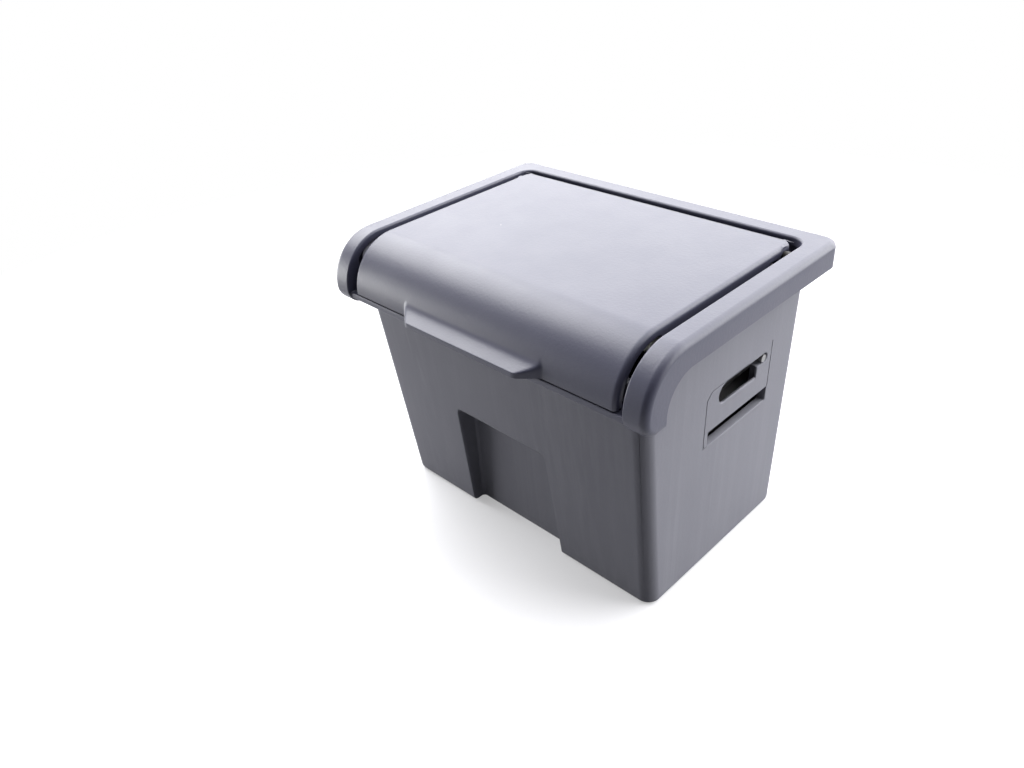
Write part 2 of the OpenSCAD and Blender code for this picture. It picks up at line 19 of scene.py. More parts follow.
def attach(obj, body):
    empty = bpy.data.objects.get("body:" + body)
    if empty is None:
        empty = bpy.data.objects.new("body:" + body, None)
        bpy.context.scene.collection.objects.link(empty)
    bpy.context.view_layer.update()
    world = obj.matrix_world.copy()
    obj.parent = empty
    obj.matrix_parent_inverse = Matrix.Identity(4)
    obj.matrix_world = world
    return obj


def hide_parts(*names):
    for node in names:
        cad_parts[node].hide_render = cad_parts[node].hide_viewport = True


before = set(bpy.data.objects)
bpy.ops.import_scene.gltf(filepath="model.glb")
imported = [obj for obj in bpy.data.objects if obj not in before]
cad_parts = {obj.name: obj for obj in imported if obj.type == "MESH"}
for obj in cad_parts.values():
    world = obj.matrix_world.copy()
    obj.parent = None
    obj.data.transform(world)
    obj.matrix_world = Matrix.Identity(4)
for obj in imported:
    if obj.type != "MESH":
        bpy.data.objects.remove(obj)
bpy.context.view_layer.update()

LOG = logging.getLogger("ashtray")
MM = 0.001  # metres in a millimetre
FAR = 120.0  # mm, past every side of the ashtray, for solids that cut right through it
UNDER = -1.0  # mm, a height just under the base
SAME = 2e-6  # points closer than this, in metres, count as one

# Short names for types.
Pair = tuple[float, float]
Triple = tuple[float, float, float]
Piece = bpy.types.Object
Material = bpy.types.Material
Socket = bpy.types.NodeSocket
Value = Socket | float | Triple
Lengths = float | np.ndarray


class Joining(Enum):
    """How one closed mesh is combined with another."""

    CUT = "DIFFERENCE"
    ADD = "UNION"


class Side(Enum):
    """The two sides of the ashtray, as the sign of X."""

    LEFT = -1
    RIGHT = 1

    def span(self, near: float, far: float) -> list[float]:
        """The lower and the higher X, on this side, of two distances from the middle."""
        return sorted((near * self.value, far * self.value))


class Axis(Enum):
    """The axes that a rod can run along."""

    X = "X"
    Z = "Z"


# Shapes: points, rings and solids


def arc(centre: Pair, radius: float, start: float, end: float, steps: int) -> np.ndarray:
    """Points of an arc: centre + radius * (cos a, sin a), with a running evenly from start to end.

    Args:
        centre: The arc's centre, mm.
        radius: Its radius, mm.
        start: First angle, degrees.
        end: Last angle, degrees.
        steps: Number of equal steps.

    Returns:
        An array of steps + 1 points.
    """
    a = np.radians(np.linspace(start, end, steps + 1))
    return np.stack([centre[0] + radius * np.cos(a), centre[1] + radius * np.sin(a)], axis=1)


def points(*pairs: Pair) -> np.ndarray:
    """The given pairs of numbers as an array of plane points."""
    return np.array(pairs, dtype=float)


def quarter(steps: int) -> np.ndarray:
    """The angles of a quarter turn in equal steps, from 0, in radians."""
    return np.radians(np.linspace(0, 90, steps + 1))


def at_height(outline: np.ndarray, z: float) -> np.ndarray:
    """The ring of a plan view, given in X and Y in mm, at a height."""
    return np.column_stack([outline, np.full(len(outline), z)])


def across(outline: np.ndarray, left: float, right: float) -> np.ndarray:
    """Two rings of a side view, given in Y and Z in mm, at X = left and X = right."""
    return np.stack([np.column_stack([np.full(len(outline), x), outline]) for x in (left, right)])


def upright(outline: np.ndarray, low: float, high: float) -> np.ndarray:
    """Two rings of a plan view, given in X and Y in mm, at Z = low and Z = high."""
    return np.stack([at_height(outline, z) for z in (low, high)])


def box_rings(low: Triple, high: Triple) -> np.ndarray:
    """Two rings of a plain box between its lowest and its highest corner."""
    plan = points((low[0], low[1]), (high[0], low[1]), (high[0], high[1]), (low[0], high[1]))
    return upright(plan, low[2], high[2])


def rounded_plan(low: Pair, high: Pair, radius: float) -> np.ndarray:
    """Outline of a rectangle whose four corners are quarter circles.

    Args:
        low: Lowest corner in X and Y, mm.
        high: Highest corner, mm.
        radius: Corner radius, mm.

    Returns:
        The outline's points, anticlockwise.
    """
    x0, y0, x1, y1 = low[0] + radius, low[1] + radius, high[0] - radius, high[1] - radius
    corners = [((x1, y1), 0), ((x0, y1), 90), ((x0, y0), 180), ((x1, y0), 270)]
    return np.vstack([arc(c, radius, a, a + 90, 12) for c, a in corners])


def ring_quads(rings: int, count: int) -> np.ndarray:
    """Four-sided faces between neighbouring rings: point p of ring r joins p + 1, wrapping at the end.

    Args:
        rings: Number of rings.
        count: Points in each ring.

    Returns:
        An array with one row of four indices for each face.
    """
    r = np.arange(rings - 1)[:, None] * count
    p = np.arange(count)[None, :]
    a, b = r + p, r + (p + 1) % count
    return np.stack([a, b, b + count, a + count], axis=-1).reshape(-1, 4)


def mesh_object(name: str, verts: np.ndarray, faces: list[list[int]]) -> Piece:
    """Puts points and faces into a new object at the origin, with its faces turned outwards.

    Args:
        name: The object's name.
        verts: Points in mm, one row each.
        faces: Point indices of each face.

    Returns:
        The new object, linked to the scene.
    """
    mesh = bpy.data.meshes.new(name)
    mesh.from_pydata((verts * MM).tolist(), [], faces)
    shape = bmesh.new()
    shape.from_mesh(mesh)
    bmesh.ops.remove_doubles(shape, verts=shape.verts, dist=1e-7)
    bmesh.ops.recalc_face_normals(shape, faces=shape.faces)
    shape.to_mesh(mesh)
    shape.free()
    piece = bpy.data.objects.new(name, mesh)
    bpy.context.scene.collection.objects.link(piece)
    return piece


def solid(name: str, rings: np.ndarray) -> Piece:
    """A closed solid: faces between neighbouring rings, and one flat face over each end ring.

    Args:
        name: The object's name.
        rings: Array of rings by points by three, in mm.

    Returns:
        The new object.
    """
    count = rings.shape[1]
    last = (len(rings) - 1) * count
    caps = [list(range(count))[::-1], list(range(last, last + count))]
    return mesh_object(name, rings.reshape(-1, 3), ring_quads(len(rings), count).tolist() + caps)


def rod(name: str, start: Triple, length: float, radius: float, steps: int = 48, axis: Axis = Axis.X) -> Piece:
    """A round bar that starts at a point: each ring is a circle about its axis.

    Args:
        name: The object's name.
        start: Centre of its first end, mm.
        length: Its length, mm.
        radius: Its radius, mm.
        steps: Sides of each circle.
        axis: The axis it runs along.

    Returns:
        The new object.
    """
    circle = arc((0, 0), radius, 0, 360, steps)[:-1]
    if axis is Axis.X:
        rings = across(circle + np.array(start[1:]), start[0], start[0] + length)
    else:
        rings = upright(circle + np.array(start[:2]), start[2], start[2] + length)
    return solid(name, rings)


def baked(piece: Piece) -> Piece:
    """Applies a piece's modifiers to its mesh.

    Args:
        piece: The piece.

    Returns:
        The same piece, with no modifiers.
    """
    graph = bpy.context.evaluated_depsgraph_get()
    mesh = bpy.data.meshes.new_from_object(piece.evaluated_get(graph))
    piece.modifiers.clear()
    old, piece.data = piece.data, mesh
    bpy.data.meshes.remove(old)
    return piece


def use_up(others: list[Piece]) -> None:
    """Removes solids that have gone into another one, with their meshes.

    Args:
        others: The solids.
    """
    for other in others:
        mesh = other.data
        bpy.data.objects.remove(other)
        bpy.data.meshes.remove(mesh)


def combined(piece: Piece, others: list[Piece], joining: Joining) -> Piece:
    """Cuts other closed solids from a piece, or adds them to it, and removes them.

    Args:
        piece: The solid that stays.
        others: The solids that are used up.
        joining: Whether they are cut away or added.

    Returns:
        The piece.
    """
    for other in others:
        step = piece.modifiers.new("step", "BOOLEAN")
        step.operation = joining.value
        step.solver = "EXACT"
        step.object = other
    baked(piece)
    use_up(others)
    return piece


def read(items: bpy.types.bpy_prop_collection, name: str, kind: type, width: int = 1) -> np.ndarray:
    """A property of each item of a mesh as an array.

    Args:
        items: The mesh's points, edges, corners or faces.
        name: The property.
        kind: float or int.
        width: How many numbers each item has.

    Returns:
        One number for each item, or one row where there are more.
    """
    values = np.empty(len(items) * width, dtype=kind)
    items.foreach_get(name, values)
    return values.reshape(-1, width) if width > 1 else values


def edge_angles(mesh: bpy.types.Mesh) -> tuple[np.ndarray, np.ndarray]:
    """The angle between the two faces at each edge, and each edge's middle.

    The angle is the arc cosine of the product of the two face normals.

    Args:
        mesh: The mesh to read.

    Returns:
        Angles in degrees and middles in mm, one row for each edge.
    """
    loops, sizes = read(mesh.loops, "edge_index", int), read(mesh.polygons, "loop_total", int)
    normals = read(mesh.polygons, "normal", float, 3)
    face = np.repeat(np.arange(len(sizes)), sizes)
    order = np.argsort(loops, kind="stable")
    counts = np.bincount(loops, minlength=len(mesh.edges))
    starts = np.concatenate([[0], np.cumsum(counts)[:-1]])
    first, second = (face[order[np.minimum(starts + step, len(order) - 1)]] for step in (0, 1))
    dots = np.clip((normals[first] * normals[second]).sum(axis=1), -1, 1)
    angles = np.where(counts == 2, np.degrees(np.arccos(dots)), 0.0)
    middles = read(mesh.vertices, "co", float, 3)[read(mesh.edges, "vertices", int, 2)].mean(axis=1) / MM
    return angles, middles


def softened(piece: Piece, widths_at: Callable[[np.ndarray], np.ndarray], limit: float = 24.0) -> Piece:
    """Rounds a piece's sharp edges and smooths its shading.

    Args:
        piece: The piece.
        widths_at: A function from the edges' middles to the widths of their rounding, both in mm.
        limit: Smallest angle that counts as sharp, degrees.

    Returns:
        The piece.
    """
    shape = bmesh.new()
    shape.from_mesh(piece.data)
    bmesh.ops.remove_doubles(shape, verts=shape.verts, dist=SAME)
    bmesh.ops.dissolve_degenerate(shape, dist=SAME / 2, edges=shape.edges)
    shape.to_mesh(piece.data)
    shape.free()
    mesh = piece.data
    angles, middles = edge_angles(mesh)
    widths = widths_at(middles)
    most = float(widths.max())
    weights = np.where(angles > limit, widths / most, 0.0).astype(np.float32)
    name = "bevel_weight_edge"
    layer = mesh.attributes.get(name) or mesh.attributes.new(name, "FLOAT", "EDGE")
    layer.data.foreach_set("value", weights)
    rounding = piece.modifiers.new("rounding", "BEVEL")
    rounding.limit_method = "WEIGHT"
    rounding.width = most * MM
    rounding.segments = 3
    rounding.use_clamp_overlap = False
    rounding.miter_outer = "MITER_ARC"
    baked(piece)
    return smoothed(piece)


def smoothed(piece: Piece) -> Piece:
    """Shades a piece smooth, with its sharp edges kept and its large faces flat.

    Args:
        piece: The piece.

    Returns:
        The piece.
    """
    sharp = 42.0  # degrees
    piece.data.shade_smooth()
    piece.data.set_sharp_from_angle(angle=math.radians(sharp))
    weighting = piece.modifiers.new("weighting", "WEIGHTED_NORMAL")
    weighting.keep_sharp = True
    weighting.weight = 80
    return baked(piece)


def joined(piece: Piece, others: list[Piece]) -> Piece:
    """Adds the meshes of other closed solids to a piece's mesh, and removes those objects.

    Args:
        piece: The piece that stays.
        others: The solids that are used up.

    Returns:
        The piece.
    """
    shape = bmesh.new()
    shape.from_mesh(piece.data)
    for other in others:
        shape.from_mesh(other.data)
    shape.to_mesh(piece.data)
    shape.free()
    use_up(others)
    return piece


# Finishes


class Graph:
    """The nodes of a material or a world, with short calls for the ones that are used here."""

    def __init__(self, owner: Material | bpy.types.World) -> None:
        """Takes hold of the nodes.

        Args:
            owner: The material or the world.
        """
        owner.use_nodes = True
        self.nodes = owner.node_tree.nodes
        self.links = owner.node_tree.links

    def give(self, socket: Socket, value: Value) -> None:
        """Gives an input a number or a colour, or links another node's output to it.

        Args:
            socket: The input.
            value: The number, the colour or the output.
        """
        if isinstance(value, Socket):
            self.links.new(value, socket)
        elif socket.type == "RGBA":
            socket.default_value = (*value, 1.0)
        else:
            socket.default_value = value

    def add(self, kind: str, output: str | int, inputs: dict[str | int, Value], **settings: str | bool) -> Socket:
        """Makes a node.

        Args:
            kind: Its kind.
            output: The output that is wanted.
            inputs: What its inputs are given.
            **settings: Its other settings.

        Returns:
            The output.
        """
        node = self.nodes.new(kind)
        for name, setting in settings.items():
            setattr(node, name, setting)
        for name, value in inputs.items():
            self.give(node.inputs[name], value)
        return node.outputs[output]

    def remap(self, value: Socket, low: float, high: float, to_low: float, to_high: float) -> Socket:
        """Carries a value's range from low to high to another range, held at its ends."""
        ranges = {"From Min": low, "From Max": high, "To Min": to_low, "To Max": to_high}
        return self.add("ShaderNodeMapRange", "Result", {**ranges, "Value": value})

    def maths(self, operation: str, first: Value, second: Value, clamp: bool = False) -> Socket:
        """One sum on two numbers or outputs, held between 0 and 1 if asked."""
        return self.add("ShaderNodeMath", "Value", {0: first, 1: second}, operation=operation, use_clamp=clamp)

    def blended(self, amount: Socket, first: Socket, second: Socket) -> Socket:
        """Two shaders mixed, by the share of the second."""
        return self.add("ShaderNodeMixShader", "Shader", {0: amount, 1: first, 2: second})

    def looked_at(self) -> Socket:
        """Tells the rays that look at a thing from those that only light it.

        Returns:
            One for rays from the camera, from a reflection or through glass, and nothing for the rest.
        """
        path = self.nodes.new("ShaderNodeLightPath").outputs
        seen = self.maths("ADD", path["Is Camera Ray"], path["Is Glossy Ray"])
        return self.maths("ADD", seen, path["Is Transmission Ray"], clamp=True)


class Surface(Graph):
    """A material's nodes round one surface shader, on the object's own coordinates in metres."""

    def __init__(self, name: str) -> None:
        """Starts a material.

        Args:
            name: Its name.
        """
        self.material = bpy.data.materials.new(name)
        super().__init__(self.material)
        self.shader = self.nodes["Principled BSDF"]
        self.place = self.nodes.new("ShaderNodeTexCoord").outputs["Object"]

    def into(self, name: str, value: Value) -> None:
        """Gives an input of the surface shader a value."""
        self.give(self.shader.inputs[name], value)

    def stretched(self, scale: Triple) -> Socket:
        """The coordinates times a scale for each axis."""
        return self.add("ShaderNodeMapping", "Vector", {"Vector": self.place, "Scale": scale})

    def noise(self, scale: float, detail: float, roughness: float = 0.55, place: Socket | None = None) -> Socket:
        """Cloudy noise between 0 and 1, with scale in features per metre."""
        inputs = {"Vector": place or self.place, "Scale": scale, "Detail": detail, "Roughness": roughness}
        return self.add("ShaderNodeTexNoise", "Fac", inputs)

    def cells(self, scale: float, feature: str = "F1") -> bpy.types.NodeOutputs:
        """The outputs of a pattern of cells, with scale in cells per metre."""
        inputs = {"Vector": self.place, "Scale": scale}
        return self.add("ShaderNodeTexVoronoi", "Distance", inputs, feature=feature).node.outputs

    def mixed(self, amount: Socket, first: Socket | Triple, second: Socket | Triple) -> Socket:
        """Two colours mixed, by the share of the second."""
        return self.add("ShaderNodeMix", 2, {0: amount, 6: first, 7: second}, data_type="RGBA")

    def bumped(self, height: Socket, strength: float, distance: float, base: Socket | None = None) -> Socket:
        """The surface's normal, or a given one, bent by a height whose full reach is a distance in metres."""
        inputs = {"Height": height, "Strength": strength, "Distance": distance}
        return self.add("ShaderNodeBump", "Normal", inputs | ({"Normal": base} if base else {}))


@dataclass(frozen=True)
class MouldedPlastic:
    """Dark satin plastic with a fine moulded grain, faint clouds, flow streaks and a few pale specks."""

    name: str
    shade: Triple
    pale: Triple
    roughness: float
    streaks: float = 0.0
    clouds: float = 0.12
    specks: float = 0.5
    gloss: float = 0.5

    def material(self) -> Material:
        """Builds the material.

        Returns:
            A material whose colour, roughness and bump follow noise on the object's coordinates.
        """
        g = Surface(self.name)
        # Clouds some 20 mm across, then long streaks that run up the walls.
        clouds = g.noise(45, 4)
        colour = g.mixed(g.remap(clouds, 0.35, 0.7, 0.0, self.clouds), self.shade, self.pale)
        if self.streaks:
            lines = g.noise(1.0, 5, 0.6, g.stretched((420, 420, 9)))
            wide = g.noise(1.0, 3, 0.5, g.stretched((90, 90, 5)))
            thin, broad = g.remap(lines, 0.45, 0.75, 0.0, 1.0), g.remap(wide, 0.4, 0.7, 0.2, 1.0)
            both = g.maths("MULTIPLY", thin, broad)
            colour = g.mixed(g.maths("MULTIPLY", both, self.streaks), colour, self.pale)
        # A pale speck, some 0.4 mm wide, in a few of the cells.
        cell = g.cells(260)
        chosen = g.maths("GREATER_THAN", cell["Color"], 0.93)
        dot = g.remap(cell["Distance"], 0.035, 0.075, 1.0, 0.0)
        fleck = g.maths("MULTIPLY", g.maths("MULTIPLY", dot, chosen), self.specks)
        colour = g.mixed(fleck, colour, (0.62, 0.62, 0.64))
        g.into("Base Color", colour)
        uneven = g.remap(g.noise(160, 5, 0.6), 0.3, 0.7, self.roughness - 0.015, self.roughness + 0.02)
        g.into("Roughness", g.maths("ADD", uneven, g.maths("MULTIPLY", fleck, 0.3)))
        g.into("IOR", 1.5)
        g.into("Specular IOR Level", self.gloss)
        # Moulded grain of fine noise and shallow pits, under a few long scuffs.
        fine = g.noise(3600, 2, 0.6)
        pits = g.remap(g.cells(1500, "SMOOTH_F1")["Distance"], 0.1, 0.7, 0.0, 1.0)
        grain = g.bumped(g.maths("ADD", fine, g.maths("MULTIPLY", pits, 0.7)), 0.22, 0.00006)
        scuffs = g.noise(1.0, 3, 0.5, g.stretched((900, 60, 200)))
        g.into("Normal", g.bumped(g.remap(scuffs, 0.62, 0.75, 0.0, 1.0), 0.12, 0.00003, grain))
        return g.material


@dataclass(frozen=True)
class SheetMetal:
    """Steel sheet or bar with drawn lines, dulled patches and soot; heavy soot over a dark shade is also painted
    shade.
    """

    name: str
    shade: Triple
    stain_and_shade: Triple
    roughness: float
    drawn: Triple = (40, 1400, 1400)
    soot_and_shade: float = 0.35

    def material(self) -> Material:
        """Builds the material.

        Returns:
            A metal whose lines run along the axis with the smallest scale.
        """
        g = Surface(self.name)
        g.into("Metallic", 1.0)
        lines = g.noise(1.0, 4, 0.6, g.stretched(self.drawn))
        # Dark, dull patches: real soot, and where the amount is large, painted shade that keeps the insides dark
        # through the gaps.
        patches = g.remap(g.noise(120, 5, 0.65), 0.42, 0.72, 0.0, self.soot_and_shade)
        colour = g.mixed(g.remap(lines, 0.3, 0.7, 0.0, 0.35), self.shade, self.stain_and_shade)
        g.into("Base Color", g.mixed(patches, colour, self.stain_and_shade))
        drawn = g.remap(lines, 0.3, 0.7, self.roughness - 0.06, self.roughness + 0.08)
        g.into("Roughness", g.maths("ADD", drawn, g.maths("MULTIPLY", patches, 0.5)))
        g.into("Normal", g.bumped(lines, 0.08, 0.00004))
        return g.material


@dataclass(frozen=True)
class BlackEnamel:
    """Black heat-proof enamel on steel, slightly uneven, with patches of grey ash."""

    name: str
    shade: Triple
    ash: Triple
    roughness: float = 0.5

    def material(self) -> Material:
        """Builds the material.

        Returns:
            A material whose colour and roughness follow the same patches of ash.
        """
        g = Surface(self.name)
        dust = g.remap(g.noise(210, 6, 0.7), 0.5, 0.74, 0.0, 0.5)
        g.into("Base Color", g.mixed(dust, self.shade, self.ash))
        g.into("Roughness", g.remap(dust, 0.0, 0.5, self.roughness, self.roughness + 0.3))
        g.into("Normal", g.bumped(g.noise(900, 3), 0.15, 0.00008))
        return g.material


@dataclass(frozen=True)
class MouldedRubber:
    """Black rubber with a dull, faintly dusty surface."""

    name: str
    shade: Triple
    dust: Triple

    def material(self) -> Material:
        """Builds the material.

        Returns:
            A material with dusty patches and a dull, finely pitted surface.
        """
        g = Surface(self.name)
        patches = g.remap(g.noise(500, 5, 0.7), 0.45, 0.75, 0.0, 0.35)
        g.into("Base Color", g.mixed(patches, self.shade, self.dust))
        g.into("Roughness", g.remap(g.noise(800, 3), 0.3, 0.7, 0.7, 0.88))
        g.into("Normal", g.bumped(g.noise(2600, 2), 0.25, 0.00005))
        return g.material


# The moulded bezel


@dataclass
class Bezel:
    """The moulded frame round the lid: top rails, a skirt, two legs bent over the front and a front rail.

    Sizes are in mm. Drops and block heights are measured down from the top.
    """

    width: float = 95.0
    depth: float = 70.0
    top: float = 72.5
    plate: float = 2.1
    skirt_h: float = 6.0
    skirt_t: float = 4.0
    side_rail: float = 5.0
    rear_rail: float = 5.5
    bend_r: float = 12.0
    edge_r: float = 1.6
    front_drop: float = 14.3
    rail_h: float = 1.5
    leg_drop: float = 16.3
    leg_d: float = 6.7
    skirt_bend_r: float = 7.9
    corner_r: float = 3.5
    plan_r: float = 3.6
    lip: float = 0.4
    axis_y: float = 23.8
    lid_front: float = -34.2
    tub_gap: float = 0.3
    block_ahead: float = 2.1
    block_behind: float = 4.9
    block_high: float = 2.0
    block_low: float = 4.5
    fine: float = 0.25
    soft: float = 0.6

    @property
    def bend(self) -> Pair:
        """Centre of the bend over the front, in Y and Z."""
        return self.bend_r - self.depth / 2, self.top - self.bend_r

    @property
    def opening_half(self) -> float:
        """Half the width of the lid's opening."""
        return self.width / 2 - self.side_rail - self.lip

    def outline(self, inset: float) -> np.ndarray:
        """Side view of the outside, drawn in by inset: front bend, top, rear edge and the legs' round ends.

        Args:
            inset: Distance inside the outside, mm.

        Returns:
            The outline's points in Y and Z.
        """
        front, rear = -self.depth / 2, self.depth / 2
        tip = self.top - self.leg_drop
        leg_r = self.bend[1] - tip
        edge = self.edge_r
        return np.vstack([
            arc(self.bend, self.bend_r - inset, 180, 90, 28),
            arc((rear - edge, self.top - edge), max(edge - inset, 0.01), 90, 0, 8),
            points((rear - inset, tip + inset)),
            arc((front + leg_r, self.bend[1]), leg_r - inset, 270, 180, 26)])

    def block(self) -> Piece:
        """The outside as one closed block whose edge at each side is a quarter round.

        At angle a the ring lies at half width - r (1 - cos a) and is drawn in by r (1 - sin a).

        Returns:
            The block, with its rear corners taken off.
        """
        r, turn = self.edge_r, quarter(8)
        place, inset = self.width / 2 - r * (1 - np.cos(turn)), r * (1 - np.sin(turn))
        rings = []
        for x, drawn_in in zip([*place, *-place[::-1]], [*inset, *inset[::-1]]):
            view = self.outline(drawn_in)
            rings.append(np.column_stack([np.full(len(view), x), view]))
        corners = [self.off_corner(side) for side in Side]
        return combined(solid("bezel_shell", np.array(rings)), corners, Joining.CUT)

    def off_corner(self, side: Side) -> Piece:
        """What lies outside a rear corner: its inner face is the corner's quarter round with its rounded edge.

        At angle a up the edge the quarter round has radius r - e (1 - cos a) and height top - e (1 - sin a).

        Args:
            side: Which of the two corners.

        Returns:
            The solid to cut away.
        """
        edge, r, turn = self.edge_r, self.plan_r, quarter(8)
        middle = (self.width / 2 - r, self.depth / 2 - r)
        outer = points((middle[0], FAR), (FAR, FAR), (FAR, middle[1]))
        below = 40.0  # a height under the whole skirt
        heights = np.concatenate([[below], self.top - edge * (1 - np.sin(turn)), [FAR]])
        radii = r - edge * (1 - np.cos(np.concatenate([[0.0], turn, [turn[-1]]])))
        rings = [at_height(np.vstack([arc(middle, radius, 0, 90, 14), outer]) * (side.value, 1), z)
                 for z, radius in zip(heights, radii)]
        return solid("off_corner", np.array(rings))

    def cutters(self) -> list[Piece]:
        """The spaces under the skirt, between the skirts, and in the lid's opening.

        Returns:
            The solids to cut away.
        """
        rear, skirt = self.depth / 2, self.top - self.skirt_h
        back, bend_r = self.leg_d - self.depth / 2, self.skirt_bend_r
        below = np.vstack([
            points((FAR, skirt)),
            arc((back + bend_r, skirt - bend_r), bend_r, 90, 180, 24),
            points((back, -FAR), (FAR, -FAR))])
        # The space inside follows the plate and stops short of the tub's front wall.
        tub = Tub()
        under = arc(self.bend, self.bend_r - self.plate, 90, 180, 48)
        under = under[under[:, 0] > tub.front_at(under[:, 1]) - self.tub_gap]
        meet = float(under[-1, 1]) - 0.4  # a little under the bend's last point
        hollow = np.vstack([
            points((rear - self.skirt_t, UNDER), (rear - self.skirt_t, self.top - self.plate)),
            under,
            points(*((tub.front_at(z) - self.tub_gap, z) for z in (meet, UNDER)))])
        half, open_rear, r = self.opening_half, rear - self.rear_rail, self.corner_r
        opening = np.vstack([
            points((-half, -FAR), (half, -FAR)),
            arc((half - r, open_rear - r), r, 0, 90, 10),
            arc((-half + r, open_rear - r), r, 90, 180, 10)])
        inside = self.width / 2 - self.skirt_t
        rail = self.top - self.front_drop
        return [solid("below", across(below, -FAR, FAR)),
                solid("hollow", across(hollow, -inside, inside)),
                solid("opening", upright(opening, rail + self.rail_h, FAR)),
                solid("under_rail", box_rings((-half, -FAR, UNDER), (half, FAR, rail))),
                solid("before_lid", box_rings((-half, -FAR, UNDER), (half, self.lid_front, FAR)))]

    def hinge_blocks(self) -> list[Piece]:
        """The blocks under the top plate that hold the hinge pins.

        Returns:
            One block for each side, sunk a little into the plate and the skirt.
        """
        made = []
        for side in Side:
            left, right = side.span(self.opening_half, self.width / 2 - self.skirt_t + 0.2)
            low = (left, self.axis_y - self.block_ahead, self.top - self.block_low)
            high = (right, self.axis_y + self.block_behind, self.top - self.block_high)
            made.append(solid("block", box_rings(low, high)))
        return made

    def build(self, finish: Material) -> Piece:
        """Makes the bezel and puts it in the place of its solid.

        Args:
            finish: The plastic's material.

        Returns:
            The bezel's visible piece.
        """
        shell = combined(self.block(), self.cutters(), Joining.CUT)
        combined(shell, self.hinge_blocks(), Joining.ADD)
        softened(shell, self.widths)
        shell.data.materials.append(finish)
        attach(shell, "body")
        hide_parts("bezel")
        return shell

    def widths(self, middles: np.ndarray) -> np.ndarray:
        """Rounding at each edge: soft round the lid's opening, fine elsewhere, and none where it wouldn't show.

        The rear corners have none either, as their rounded edge is already in the block.

        Args:
            middles: Middles of the edges, mm.

        Returns:
            Widths in mm.
        """
        x, y, z = np.abs(middles[:, 0]), middles[:, 1], middles[:, 2]
        half, rear, skirt = self.width / 2, self.depth / 2, self.top - self.skirt_h
        corner = (x > half - self.plan_r - 0.1) & (y > rear - self.plan_r - 0.1)
        hidden = (y > self.axis_y - 4.0) & (z < self.top - 1.5) & (z > skirt + 0.5)
        none = corner | hidden | (y > rear - 0.5)
        opening = self.fine + (self.soft - self.fine) * np.clip((z - self.top + 5.0) / 4.0, 0, 1)
        return np.where(none, 0.0, np.where(x < half - self.side_rail + 0.2, opening, self.fine))


# The moulded tub


